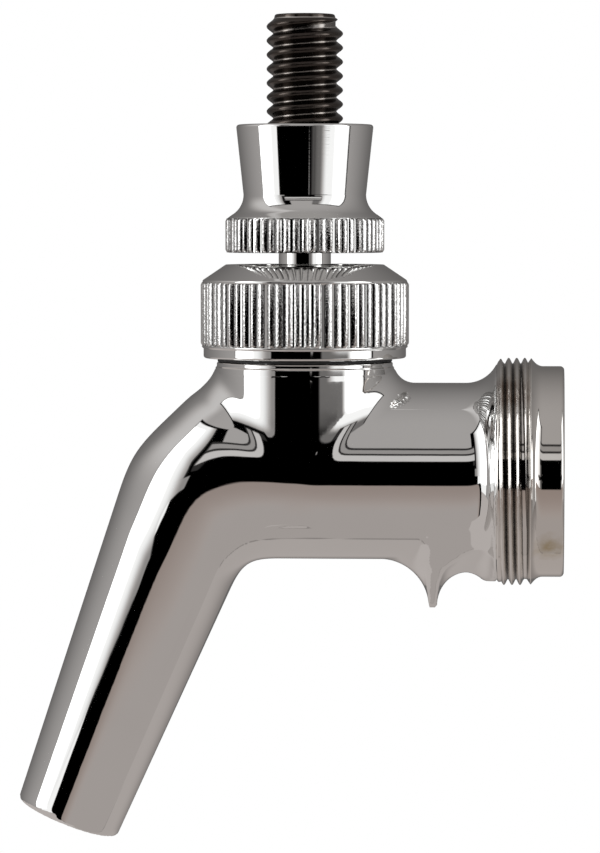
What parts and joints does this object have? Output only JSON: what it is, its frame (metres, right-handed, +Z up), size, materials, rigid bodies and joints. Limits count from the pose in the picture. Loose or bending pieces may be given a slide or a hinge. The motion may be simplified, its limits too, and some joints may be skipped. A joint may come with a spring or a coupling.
{
  "type": "beer faucet",
  "caption": "Polished forward-sealing beer faucet with slanted spout, knurled bonnet, ball lever with threaded stud and flared collar, sliding valve and threaded rear coupling.",
  "frame": {"origin": "centre of the rear face of the coupling, on the barrel axis", "axes": "+X back along the barrel axis towards the shank, +Z up along the lever, +Y completes a right-handed frame"},
  "size_m": [0.0682, 0.0284, 0.1029],
  "materials": {
    "polished_steel": "mirror polished",
    "black_oxide_steel": "black oxide, slightly oily",
    "turned_steel": "turned",
    "white_acetal": "machined plastic",
    "black_rubber": "moulded"
  },
  "bodies": {
    "faucet": {"faucet_body": "polished_steel", "bonnet_gasket": "black_rubber", "friction_washer": "white_acetal", "ball_washer": "white_acetal", "ball_o_ring": "black_rubber", "coupling_washer": "black_rubber"},
    "bonnet": {"bonnet": "polished_steel"},
    "lever": {"lever": "polished_steel", "handle_stud": "black_oxide_steel"},
    "collar": {"lever_collar": "polished_steel"},
    "valve": {"valve_shaft": "turned_steel", "valve_o_ring": "black_rubber", "shaft_nut": "turned_steel"}
  },
  "joints": [
    {"name": "lever_tilt", "type": "hinge", "parent": "faucet", "child": "lever", "pos_m": [-0.0323, 0, 0.0125], "axis": [0, -1, 0], "range_deg": [0, 20]},
    {"name": "valve_slide", "type": "slide", "parent": "faucet", "child": "valve", "axis": [1, 0, 0], "range_m": [0, 0.0044]},
    {"name": "collar_turn", "type": "hinge", "parent": "lever", "child": "collar", "pos_m": [-0.0323, 0, 0.03], "axis": [0, 0, 1], "range_deg": [0, 360]},
    {"name": "bonnet_turn", "type": "hinge", "parent": "faucet", "child": "bonnet", "pos_m": [-0.0323, 0, 0.018], "axis": [0, 0, 1], "range_deg": [0, 90]}
  ],
  "couplings": [
    {"joint": "valve_slide", "follows": "lever_tilt", "m_per_rad": 0.0125}
  ]
}
